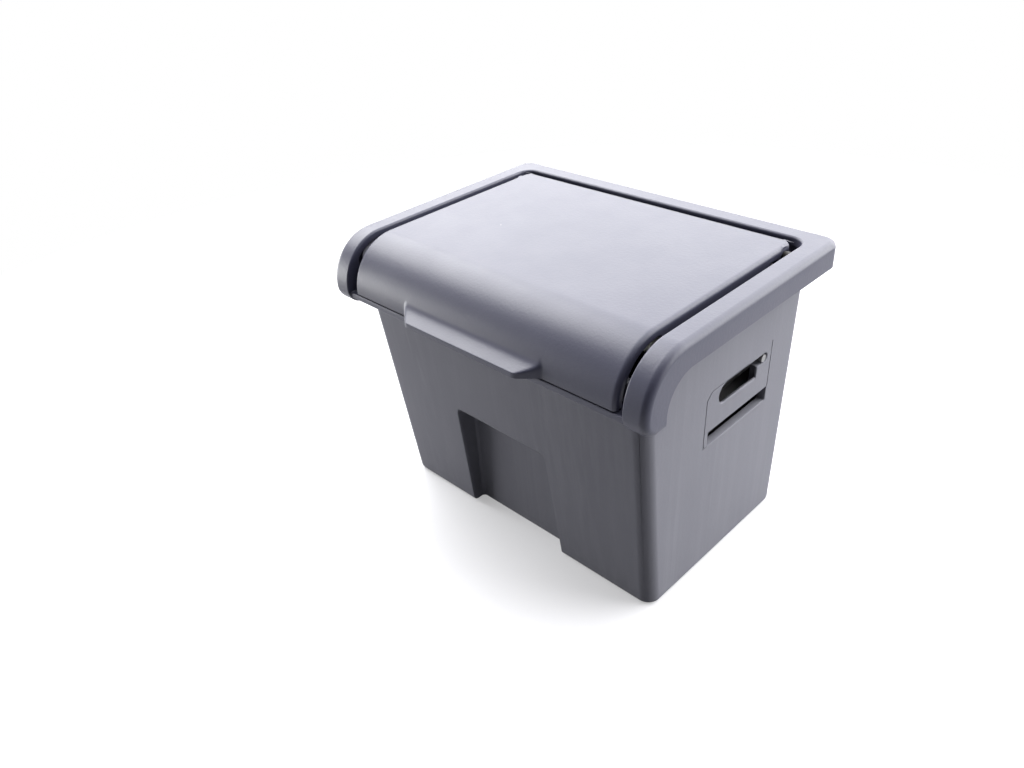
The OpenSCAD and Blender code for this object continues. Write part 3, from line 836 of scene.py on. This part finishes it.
@dataclass
class Tub:
    """The moulded outer box, with its front recess, side slots and catch windows.

    Sizes are in mm, and the core's four edges are its front, rear, low and high.
    """

    top: float = 72.5
    wall: float = 2.0
    floor: float = 2.0
    top_half: float = 43.2
    base_half: float = 41.5
    top_front: float = -30.7
    base_front: float = -23.2
    top_rear: float = 30.4
    base_rear: float = 29.4
    corner_r: float = 3.4
    base_r: float = 1.4
    recess_w: float = 29.0
    recess_flare: float = 2.3
    recess_h: float = 32.0
    recess_left: float = 1.5
    recess_depth: float = 3.6
    recess_lean: float = 1.3
    slot_l: float = 18.8
    slot_h: float = 5.0
    slot_z: float = 45.8
    slot_rear: float = 16.2
    notch_l: float = 4.0
    notch_h: float = 2.3
    window_l: float = 23.5
    window_h: float = 3.8
    window_z: float = 36.9
    ramp_h: float = 1.7
    line_w: float = 0.26
    line_d: float = 0.16
    core: tuple[float, float, float, float] = (-7.2, 17.9, 36.9, 51.2)
    skin_t: float = 0.7
    pocket_rim: float = 1.5
    bend: Pair = (-23.0, 60.5)
    bend_r: float = 9.6
    rim_z: float = 70.4
    front_top: float = 64.0
    hinge_y: float = 21.4
    hinge_z: float = 67.7
    wedge_x: float = 24.0
    wedge_w: float = 7.0
    wedge_out: float = 0.9
    wedge_top: float = 58.1
    wedge_low: float = 55.5
    rib_l: float = 26.0
    rib_out: float = 0.5
    rib_top: float = 69.5
    rib_low: float = 68.1
    fine: float = 0.28
    recess_soft: float = 0.9

    def rise(self, z: Lengths) -> Lengths:
        """How far a height lies up the drafted walls, from 0 above the base edge to 1 at the top."""
        return (z - self.base_r) / (self.top - self.base_r)

    def side_at(self, z: Lengths) -> Lengths:
        """Half width of the outside at a height."""
        return self.base_half + (self.top_half - self.base_half) * self.rise(z)

    def front_at(self, z: Lengths) -> Lengths:
        """Y of the front wall's outside at a height."""
        return self.base_front + (self.top_front - self.base_front) * self.rise(z)

    def box(self, name: str, wall: float, floor: float, top: float) -> Piece:
        """A drafted box with round corners and a round lower edge, drawn in by a wall.

        Low rings rise by e (1 - cos a) while their corner radius grows by e sin a, and the last ring is the top.

        Args:
            name: The box's name.
            wall: How far its sides are drawn in, mm.
            floor: Height of its bottom, mm.
            top: Height of its top, mm.

        Returns:
            The box.
        """
        r = self.corner_r - wall
        edge = max(self.base_r - wall, 0.6)
        rings = []
        for a in quarter(8):
            grow = r - edge + edge * math.sin(a)
            low = (-self.base_half + wall + r - grow, self.base_front + wall + r - grow)
            high = (self.base_half - wall - r + grow, self.base_rear - wall - r + grow)
            plan = rounded_plan(low, high, max(grow, 0.01))
            rings.append(at_height(plan, floor + edge * (1 - math.cos(a))))
        low, high = (-self.top_half + wall, self.top_front + wall), (self.top_half - wall, self.top_rear - wall)
        rings.append(at_height(rounded_plan(low, high, r), top))
        return solid(name, np.array(rings))

    def recess(self, grow: float) -> Piece:
        """The space of the front recess: narrower and deeper towards its top.

        Args:
            grow: How far it is grown, to leave a wall round it, mm.

        Returns:
            The solid to cut away.
        """
        ahead = -60.0  # well in front of the tub
        back = self.base_front + self.recess_depth + grow
        levels = ((UNDER, self.recess_w + self.recess_flare, back),
                  (self.recess_h + grow, self.recess_w, back - self.recess_lean))
        rings = []
        for z, width, y in levels:
            left, right = -self.recess_left - (width / 2 + grow), -self.recess_left + (width / 2 + grow)
            rings.append(at_height(points((left, ahead), (right, ahead), (right, y), (left, y)), z))
        return solid("recess", np.array(rings))

    def side_slot(self) -> Piece:
        """The slot through both walls: a round front end, a square step and a narrow round-ended notch.

        Returns:
            The solid to cut away.
        """
        r, n = self.slot_h / 2, self.notch_h / 2
        front, top = self.slot_rear - self.slot_l, self.slot_z + self.slot_h
        step = self.slot_rear - self.notch_l
        outline = np.vstack([
            arc((front + r, self.slot_z + r), r, 90, 270, 16),
            points((step, self.slot_z), (step, top - 2 * n)),
            arc((self.slot_rear - n, top - n), n, 270, 450, 12)])
        return solid("slot", across(outline, -FAR, FAR))

    def slot_pocket(self, side: Side) -> Piece:
        """The step inside a side wall that leaves a thin skin round the slot.

        Args:
            side: Which of the two walls.

        Returns:
            The solid to cut away.
        """
        wall, rim = self.side_at(self.slot_z), self.pocket_rim
        left, right = side.span(wall - self.skin_t, wall - self.wall - 1)
        front, rear = self.slot_rear - self.slot_l - rim, self.slot_rear - self.notch_l + 0.3
        low, high = self.slot_z - rim, self.slot_z + self.slot_h + rim
        return solid("pocket", box_rings((left, front, low), (right, rear, high)))

    def catch_window(self, side: Side) -> Piece:
        """The window under the slot, with a ramp that leads into it from above.

        Args:
            side: Which of the two walls.

        Returns:
            The solid to cut away.
        """
        low, top = self.window_z, self.window_z + self.window_h
        skin, inside, ramp = self.side_at(top), self.side_at(low) - self.wall - 1, top - self.ramp_h
        view = points((skin + 2, low), (skin + 2, top), (skin, top), (skin - self.wall * 0.8, ramp),
                      (inside, ramp), (inside, low))
        rear = self.slot_rear + 1.5
        rings = [np.column_stack([view[:, 0] * side.value, np.full(len(view), y), view[:, 1]])
                 for y in (rear - self.window_l, rear)]
        return solid("window", np.array(rings))

    def wall_line(self, side: Side, start: Pair, end: Pair, width: float) -> Piece:
        """A hair-thin groove in a side wall between two points given in Y and Z.

        It is a strip that reaches half its width to each side of the line and is sunk into the drafted wall.

        Args:
            side: Which of the two walls.
            start: Its first end, mm.
            end: Its other end, mm.
            width: Its width, mm.

        Returns:
            The solid to cut away.
        """
        a, b = np.array(start), np.array(end)
        along = (b - a) / np.linalg.norm(b - a)
        off = np.array([-along[1], along[0]]) * width / 2
        on = along * 0.08  # lines run on a little, so that they meet
        corners = np.array([a - off - on, b - off + on, b + off + on, a + off - on])
        skin = self.side_at(corners[:, 1])
        rings = [np.column_stack([(skin + d) * side.value, corners]) for d in (-self.line_d, 1.0)]
        return solid("line", np.array(rings))

    def witness(self, side: Side) -> list[Piece]:
        """The fine parting lines round the slot and the window, left by the mould's side core.

        Args:
            side: Which of the two walls.

        Returns:
            The solids to cut away.
        """
        front, rear, low, high = self.core
        slant, thin = 1.7, self.line_w  # the front upper corner is cut off at a slant
        lines = [((front, low), (front, high - slant), thin),
                 ((front, high - slant), (front + slant, high), thin),
                 ((front + slant, high), (rear - 9.5, high), thin),
                 ((rear, low + 0.2), (rear, high + 1.7), thin),
                 ((front, low), (front + 1.4, low), thin),
                 ((front - 0.15, low + 0.35), (front + 0.3, low + 0.35), 0.7)]
        return [self.wall_line(side, *line) for line in lines]

    def top_cutters(self) -> list[Piece]:
        """What is cut from the rim: the bend over the front, the low front wall and the room for the hinges.

        Returns:
            The solids to cut away.
        """
        over = np.vstack([points((FAR, FAR), (FAR, self.rim_z), (self.bend[0], self.rim_z)),
                          arc(self.bend, self.bend_r, 90, 180, 20),
                          points((-FAR, self.bend[1]), (-FAR, FAR))])
        inner, behind = self.top_half - self.wall, self.top_front + 2 * self.wall
        return [solid("over", across(over, -FAR, FAR)),
                solid("front", box_rings((-inner, -FAR, self.front_top), (inner, behind, FAR))),
                solid("hinges", box_rings((-FAR, self.hinge_y, self.hinge_z), (FAR, FAR, FAR)))]

    def additions(self) -> list[Piece]:
        """The wedges under the bezel's front rail and the ribs for its grooves.

        Returns:
            The solids to add.
        """
        top, foot, half = self.wedge_top, self.wedge_low, self.wedge_w / 2
        wall, tip = self.front_at(top), self.front_at(top) - self.wedge_out
        wedge = points((wall + 1, top), (tip, top), (tip, top - 0.5),
                       (self.front_at(foot), foot), (self.front_at(foot) + 1, foot))
        made = [solid("wedge", across(wedge, x - half, x + half)) for x in (-self.wedge_x, self.wedge_x)]
        for side in Side:
            left, right = side.span(self.top_half - 1, self.top_half + self.rib_out)
            low, high = (left, -self.rib_l / 2, self.rib_low), (right, self.rib_l / 2, self.rib_top)
            made.append(solid("rib", box_rings(low, high)))
        return made

    def widths(self, middles: np.ndarray) -> np.ndarray:
        """Rounding at each edge: wide round the front recess, none on the witness lines, fine elsewhere.

        Args:
            middles: Middles of the edges, mm.

        Returns:
            Widths in mm.
        """
        x, y, z = middles.T
        widths = np.full(len(middles), self.fine)
        reach = self.recess_w / 2 + self.recess_flare + 0.5
        near = (np.abs(x + self.recess_left) < reach) & (y < self.base_front + 4.2)
        widths[near & (z < self.recess_h + 0.5) & (z > 3.0)] = self.recess_soft
        front, rear, low, high = self.core
        lined = (np.abs(x) > self.side_at(36.0) - 0.4) & (z > low - 0.5) & (z < high + 2.5)
        hairs = (y < front + 2.2) | (y > rear - 0.15) | (z > high - 0.25)
        widths[lined & hairs] = 0.0
        return widths

    def build(self, finish: Material) -> Piece:
        """Makes the tub and puts it in the place of its solid.

        Args:
            finish: The plastic's material.

        Returns:
            The tub's visible piece.
        """
        hollow = self.box("hollow", self.wall, self.floor, self.top + 0.5)
        combined(hollow, [self.recess(self.wall)], Joining.CUT)
        shell = self.box("tub_shell", 0.0, 0.0, self.top)
        combined(shell, [hollow, self.recess(0.0), *self.top_cutters()], Joining.CUT)
        combined(shell, self.additions(), Joining.ADD)
        openings = [self.side_slot()] + [cut(s) for s in Side for cut in (self.catch_window, self.slot_pocket)]
        combined(shell, openings + self.witness(Side.RIGHT), Joining.CUT)
        softened(shell, self.widths)
        shell.data.materials.append(finish)
        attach(shell, "body")
        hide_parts("tub")
        return shell


# The moulded lid


@dataclass
class Lid:
    """The lid: a plate bent down over the front, with flanges at its sides and a flared finger tab.

    Sizes are in mm.
    """

    half: float = 40.0
    top: float = 72.5
    rear: float = 27.2
    front: float = -34.2
    bottom: float = 60.0
    thick: float = 2.2
    bend_r: float = 12.4
    edge_r: float = 1.0
    flange_h: float = 4.5
    flange_t: float = 1.8
    flange_end: float = 18.26
    corner_r: float = 2.0
    tab_tip: float = 17.0
    tab_root: float = 22.5
    tab_out: float = 3.5
    tab_low: float = 60.2
    tab_tip_t: float = 1.0
    tab_flare_h: float = 4.0
    tab_slope: float = 2.8
    tab_round: float = 0.45
    tab_soft: float = 0.22
    axis_y: float = 23.8
    axis_z: float = 70.5
    boss_l: float = 3.2
    boss_r: float = 1.98
    cam_r: float = 2.6
    screw_x: float = 31.2
    screw_rows: Pair = (-18.5, 16.5)
    screw_z: float = 69.1
    screw_l: float = 1.4
    screw_r: float = 2.4

    @property
    def flange_marks(self) -> list[float]:
        """Y where the flange starts behind the bend, has its full depth, starts to end and has ended."""
        bend = self.front + self.bend_r
        return [bend + 1, bend + 3.5, self.flange_end - 2, self.flange_end]

    def path(self) -> tuple[np.ndarray, np.ndarray]:
        """The lid's outside in side view, from the rear edge to the front's lower edge, with its inward normals.

        Returns:
            Points in Y and Z, and unit normals that point into the lid.
        """
        r = self.bend_r
        centre = (self.front + r, self.top - r)
        corner = self.rear - self.corner_r * (1 - np.sin(np.radians(np.linspace(90, 0, 9))))
        even = np.linspace(corner[-1], centre[0], 26)[1:-1]
        y = np.sort(np.concatenate([corner, even, self.flange_marks]))[::-1]
        flat = np.column_stack([y, np.full(len(y), self.top)])
        tab_top = self.tab_low + self.tab_tip_t + self.tab_flare_h
        turned = math.degrees(math.asin((tab_top - centre[1]) / r))
        upper = arc(centre, r, 90, 180 - turned, 30)
        sweep = np.radians(np.linspace(90, 0, 15))[1:]
        z = np.concatenate([tab_top - self.tab_flare_h * np.cos(sweep), [self.tab_low + 0.5, centre[1]]])
        lower = np.column_stack([centre[0] - np.sqrt(r ** 2 - (z - centre[1]) ** 2), z])
        bend = np.vstack([upper, lower])
        line = np.vstack([flat, bend, [(self.front, self.bottom)]])
        normals = np.vstack([np.tile((0.0, -1.0), (len(flat), 1)), (np.array(centre) - bend) / r, [(1.0, 0.0)]])
        return line, normals

    def section(self) -> tuple[np.ndarray, np.ndarray, np.ndarray, np.ndarray]:
        """The closed section across the lid, as X and depth of its outer and of its inner line.

        Depth is a share of the flange's depth plus a fixed part: the outer line climbs the side, turns a
        quarter round of the edge's radius and crosses the top, and the inner line follows it one wall below.

        Returns:
            Outer X, its rows of share and fixed part, inner X, and its rows of the same.
        """
        r, inner = self.edge_r, self.half - self.flange_t
        climb = np.linspace(1, 0, 5)
        turn = quarter(7)[1:]
        span = np.linspace(-(self.half - r), self.half - r, 236)[1:-1]
        side_x = np.concatenate([np.full(5, -self.half), -(self.half - r * (1 - np.cos(turn)))])
        side_share = np.concatenate([climb, np.zeros(7)])
        side_fixed = np.concatenate([r * (1 - climb), r * (1 - np.sin(turn))])
        outer = np.concatenate([side_x, span, -side_x[::-1]])
        share = np.concatenate([side_share, np.zeros(len(span)), side_share[::-1]])
        fixed = np.concatenate([side_fixed, np.zeros(len(span)), side_fixed[::-1]])
        inner_side = np.full(len(side_x), -inner)
        inner_span = np.linspace(-inner, inner, len(span) + 2)[1:-1]
        inner_x = np.concatenate([inner_side, inner_span, -inner_side])
        under = self.thick * (1 - side_share)
        inner_fixed = np.concatenate([under, np.full(len(span), self.thick), under[::-1]])
        return outer, np.vstack([share, fixed]), inner_x, np.vstack([share, inner_fixed])

    def tab(self, x: np.ndarray, z: np.ndarray) -> np.ndarray:
        """How far the finger tab stands out at each point.

        In side view it is a shelf that slopes down and out from a rounded root: with d the height below the
        root, it stands out by slope * w * log(1 + exp(d / w)). A slanted end limits it at each side, joined by
        a smooth least of the two.

        Args:
            x: X of the points, mm.
            z: Their Z, mm.

        Returns:
            Distances in mm.
        """
        slope, w, soft = self.tab_slope, self.tab_round, self.tab_soft
        shelf_low = self.tab_low + self.tab_tip_t
        root = shelf_low + self.tab_out / slope
        drop = np.clip((root - z) / w, -30, 30)
        flare = np.minimum(slope * w * np.log1p(np.exp(drop)), self.tab_out)
        flare = np.where(z > shelf_low + self.tab_flare_h - 0.01, 0.0, flare)
        slant = (self.tab_out + 1) / (self.tab_root - self.tab_tip)
        ends = np.clip((self.tab_root - np.abs(x)) * slant - 1, -20, 20)
        least = -soft * np.log(np.exp(-flare / soft) + np.exp(-ends / soft))
        return np.maximum(np.where(ends > 4, flare, least), 0)

    def skin(self) -> Piece:
        """The lid's plate: its section carried along its side view, with the tab pushed out of the front.

        Returns:
            The plate.
        """
        line, normals = self.path()
        outer_x, outer_depth, inner_x, inner_depth = self.section()
        y = line[:, 0]
        flange = np.interp(y, self.flange_marks, [self.thick, self.flange_h, self.flange_h, self.thick])
        corner = np.clip(y - (self.rear - self.corner_r), 0, self.corner_r)
        narrow = 1 - (self.corner_r - np.sqrt(self.corner_r ** 2 - corner ** 2)) / self.half

        def surface(x: np.ndarray, depth: np.ndarray) -> np.ndarray:
            """Points below the path: each is a point of the path + depth * its normal.

            Args:
                x: X of the section's points, mm.
                depth: Their rows of share and fixed part.

            Returns:
                An array of path points by section points by three.
            """
            d = depth[0][None, :] * flange[:, None] + depth[1][None, :]
            yz = line[:, None, :] + d[:, :, None] * normals[:, None, :]
            return np.concatenate([np.broadcast_to(x, d.shape)[:, :, None], yz], axis=2)

        outer, inner = surface(outer_x, outer_depth), surface(inner_x, inner_depth)
        outer[:, :, 1] -= self.tab(outer[:, :, 0], outer[:, :, 2]) * (outer[:, :, 1] < -20)
        rows, count = outer.shape[:2]
        grid = np.concatenate([outer, inner[:, ::-1]], axis=1)
        grid[:, :, 0] *= narrow[:, None]
        first = np.arange(count - 1)
        last = 2 * count - 1 - first
        strip = np.stack([first, first + 1, last - 1, last], axis=1)
        ends = [strip, strip[:, ::-1] + (rows - 1) * 2 * count]
        faces = np.vstack([ring_quads(rows, 2 * count), *ends])
        return mesh_object("lid_shell", grid.reshape(-1, 3), faces.tolist())

    def fittings(self) -> list[Piece]:
        """The hinge bosses, the cams and the bosses for the heat plate's screws, on the lid's underside.

        Returns:
            The solids that join the plate.
        """
        # The cam's outline in Y and Z round the hinge's axis.
        lobe = np.vstack([arc((0, 0), self.cam_r, 235, 275, 10),
                          points((2.25, -0.6), (2.0, -0.1), (-2.1, -0.1), (-2.35, -1.1))])
        cam = lobe + np.array([self.axis_y, self.axis_z])
        made = []
        for side in Side:
            start = side.span(self.half - 0.1 - self.boss_l, self.half - 0.1)[0]
            made.append(rod("boss", (start, self.axis_y, self.axis_z), self.boss_l, self.boss_r))
            made.append(solid("cam", across(cam, *side.span(self.half - 2.0, self.half - 0.05))))
        for x in (-self.screw_x, self.screw_x):
            for y in self.screw_rows:
                made.append(rod("screw_boss", (x, y, self.screw_z), self.screw_l, self.screw_r, 32, Axis.Z))
        return made

    def widths(self, middles: np.ndarray) -> np.ndarray:
        """Rounding at each edge in mm, from the edges' middles: finer on the tab, which stands out in front."""
        return np.where(middles[:, 1] < self.front - 0.3, 0.16, 0.4)

    def build(self, finish: Material) -> Piece:
        """Makes the lid and puts it in the place of its solid.

        Args:
            finish: The plastic's material.

        Returns:
            The lid's visible piece.
        """
        plate = softened(self.skin(), self.widths, limit=60.0)
        shell = joined(plate, [smoothed(piece) for piece in self.fittings()])
        shell.data.materials.append(finish)
        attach(shell, "lid_body")
        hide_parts("lid")
        return shell


# The pieces that keep their solids


@dataclass
class Insides:
    """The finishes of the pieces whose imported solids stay."""

    # Heat plate and stub rest: dark steel under heavy soot, partly real soot and partly painted shade for the
    # dark inside seen through the gaps round the lid.
    plate_steel: SheetMetal = SheetMetal("plated_sheet", (0.3, 0.3, 0.295), (0.1, 0.095, 0.085), 0.48, soot_and_shade=0.7)
    fastener_steel: SheetMetal = SheetMetal(
        "fastener_steel", (0.2, 0.2, 0.205), (0.1, 0.1, 0.095), 0.5, (900, 900, 900), 0.3)
    # Hinge pins coloured nearly black: painted shade for the dark gap at the lid's rear corners.
    painted_shade_pin: SheetMetal = SheetMetal(
        "painted_shade_pin_steel", (0.03, 0.03, 0.032), (0.06, 0.055, 0.05), 0.5, (900, 900, 900), 0.3)
    wire: SheetMetal = SheetMetal(
        "spring_wire", (0.2, 0.2, 0.208), (0.14, 0.14, 0.135), 0.6, (1500, 200, 200), 0.2)
    enamel: BlackEnamel = BlackEnamel("black_enamel", (0.022, 0.022, 0.023), (0.2, 0.195, 0.19))
    rubber: MouldedRubber = MouldedRubber("buffer_rubber", (0.016, 0.016, 0.016), (0.09, 0.088, 0.085))

    def dress(self) -> None:
        """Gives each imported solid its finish."""
        worn = {
            self.plate_steel: ("lid_heat_plate", "stub_rest"),
            self.fastener_steel: ("heat_plate_screws", "stub_rest_rivets"),
            self.painted_shade_pin: ("left_hinge_pin", "right_hinge_pin"),
            self.wire: ("left_detent_spring", "right_detent_spring"),
            self.enamel: ("ash_liner",),
            self.rubber: ("left_lid_buffer", "right_lid_buffer")}
        for finish, names in worn.items():
            material = finish.material()
            for name in names:
                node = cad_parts[name]
                for place in node.material_slots:
                    place.material = material
                if not node.material_slots:
                    node.data.materials.append(material)
                LOG.info("dressed %s in %s", name, finish.name)


# The studio


@dataclass
class Studio:
    """A plain pale floor, soft lamps and the camera at the photograph's angle. Lengths are in mm."""

    camera_at: Triple = (121.334, -135.492, 150.613)
    azimuth: float = 46.988
    elevation: float = 32.676
    roll: float = 4.388
    focal_px: float = 851.827
    image_w: int = 1024
    film_w: float = 36.0
    floor_half: float = 3000.0
    floor_glow: float = 0.37
    fill: float = 0.04
    card_at: Pair = (200.0, -230.0)
    card_half: Pair = (330.0, 300.0)
    card_low: float = 1.0
    card_high: float = 520.0

    def camera(self) -> None:
        """Places the camera: its axes are built from azimuth and elevation, then turned by the roll."""
        a, e, r = np.radians([self.azimuth, self.elevation, self.roll])
        ahead = -np.array([math.sin(a) * math.cos(e), -math.cos(a) * math.cos(e), math.sin(e)])
        right = np.cross(ahead, [0, 0, 1.0])
        right /= np.linalg.norm(right)
        down = np.cross(ahead, right)
        c, s = math.cos(r), math.sin(r)
        right, down = c * right + s * down, -s * right + c * down
        data = bpy.data.cameras.new("photo_camera")
        data.sensor_fit = "HORIZONTAL"
        data.sensor_width = self.film_w
        data.lens = self.focal_px / self.image_w * self.film_w
        data.clip_start, data.clip_end = 0.01, 20.0
        camera = bpy.data.objects.new("photo_camera", data)
        bpy.context.scene.collection.objects.link(camera)
        rows = [[right[i], -down[i], -ahead[i], self.camera_at[i] * MM] for i in range(3)]
        camera.matrix_world = Matrix([*rows, [0, 0, 0, 1]])
        bpy.context.scene.camera = camera

    def floor(self) -> None:
        """A large pale floor that shows white to the camera and still takes the ashtray's soft shadow.

        The camera and reflections see a surface that turns to plain white with the distance from the middle.
        The light that bounces off it sees a dull grey one.
        """
        side = self.floor_half
        sheet = points((-side, -side), (side, -side), (side, side), (-side, side))
        piece = mesh_object("floor", np.column_stack([sheet, np.zeros(4)]), [[0, 1, 2, 3]])
        g = Surface("pale_floor")
        uneven = g.remap(g.noise(30, 3), 0.3, 0.7, 0.0, 0.3)
        g.into("Base Color", g.mixed(uneven, (0.7, 0.7, 0.725), (0.66, 0.66, 0.685)))
        g.into("Roughness", 0.6)
        g.into("Specular IOR Level", 0.2)
        reach = g.add("ShaderNodeVectorMath", "Value", {0: g.place}, operation="LENGTH")
        near, far = 0.08, 0.3  # metres
        white = g.add("ShaderNodeEmission", "Emission", {"Color": (1.0, 1.0, 1.0)})
        shown = g.blended(g.remap(reach, near, far, self.floor_glow, 1.0), g.shader.outputs["BSDF"], white)
        dim = g.add("ShaderNodeBsdfDiffuse", "BSDF", {"Color": (0.13, 0.13, 0.135)})
        g.give(g.nodes["Material Output"].inputs["Surface"], g.blended(g.looked_at(), dim, shown))
        piece.data.materials.append(g.material)

    def lamp(self, name: str, at: Triple, aim: Triple, size: Pair, power: float) -> None:
        """A soft oblong lamp.

        Args:
            name: The lamp's name.
            at: Its place, mm.
            aim: The point it faces, mm.
            size: Width and height, mm.
            power: Its power, watts.
        """
        data = bpy.data.lights.new(name, "AREA")
        data.shape = "RECTANGLE"
        data.size, data.size_y = size[0] * MM, size[1] * MM
        data.energy = power
        lamp = bpy.data.objects.new(name, data)
        bpy.context.scene.collection.objects.link(lamp)
        lamp.location = Vector(at) * MM
        lamp.rotation_mode = "QUATERNION"
        lamp.rotation_quaternion = (Vector(aim) - Vector(at)).to_track_quat("-Z", "Y")
        lamp.visible_camera = False

    def lights(self) -> None:
        """Bright soft light from behind and above, and a weak even light from all round."""
        world = bpy.data.worlds.new("soft_room")
        bpy.context.scene.world = world
        g = Graph(world)
        back = g.nodes["Background"].inputs
        g.give(back["Color"], (1.0, 1.0, 1.0))
        g.give(back["Strength"], g.remap(g.looked_at(), 0.0, 1.0, self.fill, 1.0))
        self.lamp("rear_window", (-290, 630, 430), (0, 0, 40), (1000, 600), 11.2)
        self.lamp("overhead", (130, 230, 700), (0, 0, 40), (600, 600), 6.5)
        self.lamp("left_window", (-430, 40, 520), (0, 0, 50), (480, 480), 9.4)
        self.lamp("left_sheet", (-290, -150, 50), (-30, -30, 30), (220, 120), 1.1)
        self.lamp("right_window", (310, 350, 200), (43, 10, 50), (600, 400), 6.3)
        bpy.context.scene.view_settings.view_transform = "Standard"

    def card(self) -> None:
        """A dark card that stands behind the camera and keeps the light off the corner that faces it."""
        middle, half = np.array(self.card_at), np.array(self.card_half)
        left, right, low, high = middle - half, middle + half, self.card_low, self.card_high
        corners = np.array([(*left, low), (*right, low), (*right, high), (*left, high)])
        piece = mesh_object("dark_card", corners, [[0, 1, 2, 3]])
        g = Surface("dark_card")
        g.into("Base Color", g.mixed(g.noise(20, 2), (0.02, 0.02, 0.024), (0.03, 0.03, 0.034)))
        g.into("Roughness", 0.9)
        piece.data.materials.append(g.material)
        piece.visible_camera = False

    def build(self) -> None:
        """Sets up the floor, the card, the lamps and the camera."""
        self.floor()
        self.card()
        self.lights()
        self.camera()
        LOG.info("studio ready")


def clear_leftovers() -> None:
    """Removes the objects of a fresh file that aren't part of the frame."""
    for name in ("Cube", "Light", "Camera"):
        extra = bpy.data.objects.get(name)
        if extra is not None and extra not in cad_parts.values():
            bpy.data.objects.remove(extra)


def main() -> None:
    """Builds the pieces in order, dresses them, and sets up the studio."""
    logging.basicConfig(level=logging.INFO, format="%(name)s: %(message)s")
    clear_leftovers()
    tub_plastic = MouldedPlastic("tub_plastic", (0.146, 0.147, 0.17), (0.215, 0.218, 0.24), 0.55,
                                 streaks=0.45, gloss=0.1)
    trim_plastic = MouldedPlastic("trim_plastic", (0.032, 0.033, 0.056), (0.075, 0.076, 0.1), 0.44, gloss=0.36)
    for part, finish in ((Tub(), tub_plastic), (Bezel(), trim_plastic), (Lid(), trim_plastic)):
        piece = part.build(finish.material())
        LOG.info("built %s: %d faces", piece.name, len(piece.data.polygons))
    Insides().dress()
    Studio().build()


if __name__ == "__main__":
    main()
